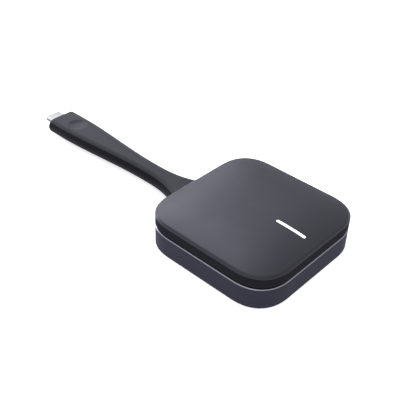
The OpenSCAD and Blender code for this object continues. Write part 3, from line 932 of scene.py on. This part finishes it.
class CASTBUTTON_OT_inner_finishes(bpy.types.Operator):
    """Finishes of the inner frame, board, switch, screws and plug inserts"""
    bl_idname = "castbutton.inner_finishes"
    bl_label = "Inner finishes"

    def execute(self, context):
        dress_nodes(moulded_plain("glass filled nylon frame", "#0c0c0e", 0.55, 0.7),
                    "mid_frame", "cap_carrier", "switch_body")
        dress_nodes(moulded_plain("liquid crystal polymer", "#17171a", 0.4, 0.55),
                    "usb_insulator")
        dress_nodes(solder_mask("green solder mask"), "main_board", "plug_board")
        dress_nodes(moulded_plain("moulded epoxy", "#232327", 0.5, 0.65),
                    "processor_chip", "memory_chips", "marker_chip")
        dress_nodes(plated_metal("tin plated steel can", "#b9bbbf", 0.25, 0.4),
                    "shield_can", "radio_module", "crystal", "switch_cover", "cable_clamp",
                    "crimp_ferrule")
        dress_nodes(moulded_plain("fired ceramic", "#b49a72", 0.5, 0.7, 0.5),
                    "antennas", "passive_parts")
        dress_nodes(moulded_plain("phosphor resin", "#f0e9c4", 0.2, 0.35), "status_leds")
        dress_nodes(plated_metal("rolled aluminium", "#b4b6b9", 0.3, 0.42), "heat_spreader")
        dress_nodes(moulded_plain("filled silicone", "#8fa7b8", 0.6, 0.75), "thermal_pad")
        dress_nodes(moulded_plain("natural nylon", "#e0dbcd", 0.45, 0.6),
                    "switch_plunger", "board_socket", "cable_connector")
        dress_nodes(moulded_plain("polyethylene inner mould", "#d6d6d2", 0.45, 0.6),
                    "plug_core")
        dress_nodes(plated_metal("zinc plated steel", "#a6a8ad", 0.28, 0.42),
                    "case_screws", "clamp_screws", "carrier_screws", "retaining_screws")
        dress_nodes(drawn_steel("drawn latch steel", "#b0b2b6", 0.25, 0.38), "usb_latches")
        dress_nodes(moulded_clear("clear acrylic", "#eef4f6"), "light_pipe")
        dress_nodes(plated_metal("gold plated contacts", "#e2bd62", 0.18, 0.3, 0.2),
                    "usb_contacts")
        return {"FINISHED"}


# ---------- stage ----------

class StageSizes(bpy.types.PropertyGroup):
    """Place and lens of the camera"""
    azimuth: FloatProperty(name="Azimuth", default=41.93,
                           description="Camera's azimuth in degrees")
    elevation: FloatProperty(name="Elevation", default=36.76,
                             description="Camera's elevation in degrees")
    roll: FloatProperty(name="Roll", default=1.863, description="Camera's roll in degrees")
    distance: length("Distance", 273.87 * MM, "From the camera to the aim point")
    lens: FloatProperty(name="Lens", default=63.2, description="Focal length in millimetres")


# The point that the camera looks at
AIM = Vector((-21.09, -6.81, 12.48)) * MM
# Cool white of the soft boxes
BOX_TINT = "#ebebff"


def soft_box(name, place, target, width, height, watts):
    """A rectangular area light that faces its target"""
    light = bpy.data.lights.new(name, "AREA")
    light.shape = "RECTANGLE"
    light.size, light.size_y = width, height
    light.energy = watts
    light.color = linear(BOX_TINT)
    lamp = bpy.data.objects.new(name, light)
    bpy.context.collection.objects.link(lamp)
    lamp.location = place
    direction = Vector(target) - Vector(place)
    lamp.rotation_euler = direction.to_track_quat("-Z", "Y").to_euler()
    return lamp


class CASTBUTTON_OT_stage(bpy.types.Operator):
    """Floor, soft lights and the camera"""
    bl_idname = "castbutton.stage"
    bl_label = "Stage"

    def execute(self, context):
        stage = context.scene.stage_sizes
        a, e = math.radians(stage.azimuth), math.radians(stage.elevation)
        back = Vector((math.sin(a) * math.cos(e), -math.cos(a) * math.cos(e), math.sin(e)))
        camera = bpy.data.objects.new("camera", bpy.data.cameras.new("camera"))
        context.collection.objects.link(camera)
        camera.data.lens = stage.lens
        camera.data.clip_start = 0.01
        camera.location = AIM + back * stage.distance
        facing = (-back).to_track_quat("-Z", "Y").to_matrix()
        turn = Matrix.Rotation(math.radians(stage.roll), 3, "Z")
        camera.rotation_euler = (facing @ turn).to_euler()
        context.scene.camera = camera

        start()
        bpy.ops.mesh.primitive_plane_add(size=6, location=(0, 0, 0))
        floor = context.object
        floor.name = "floor"
        dress(floor, studio_floor("opal acrylic table"))

        puck = (0, 0, 0.01)
        soft_box("key", (-0.48, 0.18, 0.43), puck, 0.5, 0.36, 3.3)
        soft_box("over", (0.0, -0.25, 0.65), puck, 0.8, 0.8, 1.4)
        soft_box("strip", (-0.6, -0.1, 0.12), puck, 0.08, 0.3, 1.2)
        world = bpy.data.worlds.new("studio")
        world.use_nodes = True
        surround = world.node_tree.nodes["Background"].inputs
        surround["Color"].default_value = rgba(linear("#f3f3fd"))
        surround["Strength"].default_value = 0.85
        context.scene.world = world
        context.scene.view_settings.view_transform = "Standard"
        return {"FINISHED"}


# ---------- panel and registration ----------

OPERATORS = (CASTBUTTON_OT_stage, CASTBUTTON_OT_case_shell, CASTBUTTON_OT_foot,
             CASTBUTTON_OT_press_cap, CASTBUTTON_OT_tail_strap, CASTBUTTON_OT_cable_lead,
             CASTBUTTON_OT_plug_sleeve, CASTBUTTON_OT_coil_springs,
             CASTBUTTON_OT_inner_finishes)
GROUPS = (("puck_sizes", PuckSizes), ("tail_sizes", TailSizes),
          ("inner_sizes", InnerSizes), ("finishes", Finishes),
          ("stage_sizes", StageSizes))


class CASTBUTTON_PT_panel(bpy.types.Panel):
    """Lists the pieces and their sizes"""
    bl_idname = "CASTBUTTON_PT_panel"
    bl_label = "Casting button"
    bl_space_type = "VIEW_3D"
    bl_region_type = "UI"
    bl_category = "Casting button"

    def draw(self, context):
        for operator in OPERATORS:
            self.layout.operator(operator.bl_idname)
        for name, group in GROUPS:
            box = self.layout.box()
            for key in group.__annotations__:
                box.prop(getattr(context.scene, name), key)


def register():
    """Registers the classes and hangs the sizes on the scene"""
    for name, group in GROUPS:
        bpy.utils.register_class(group)
        setattr(bpy.types.Scene, name, PointerProperty(type=group))
    for operator in OPERATORS:
        bpy.utils.register_class(operator)
    bpy.utils.register_class(CASTBUTTON_PT_panel)


def unregister():
    """Takes everything back off"""
    bpy.utils.unregister_class(CASTBUTTON_PT_panel)
    for operator in reversed(OPERATORS):
        bpy.utils.unregister_class(operator)
    for name, group in reversed(GROUPS):
        delattr(bpy.types.Scene, name)
        bpy.utils.unregister_class(group)


def main():
    """Builds every piece in order"""
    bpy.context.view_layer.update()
    register()
    bpy.ops.castbutton.stage()
    bpy.ops.castbutton.case_shell()
    bpy.ops.castbutton.foot()
    bpy.ops.castbutton.press_cap()
    bpy.ops.castbutton.tail_strap()
    bpy.ops.castbutton.cable_lead()
    bpy.ops.castbutton.plug_sleeve()
    bpy.ops.castbutton.coil_springs()
    bpy.ops.castbutton.inner_finishes()


if __name__ == "__main__":
    main()
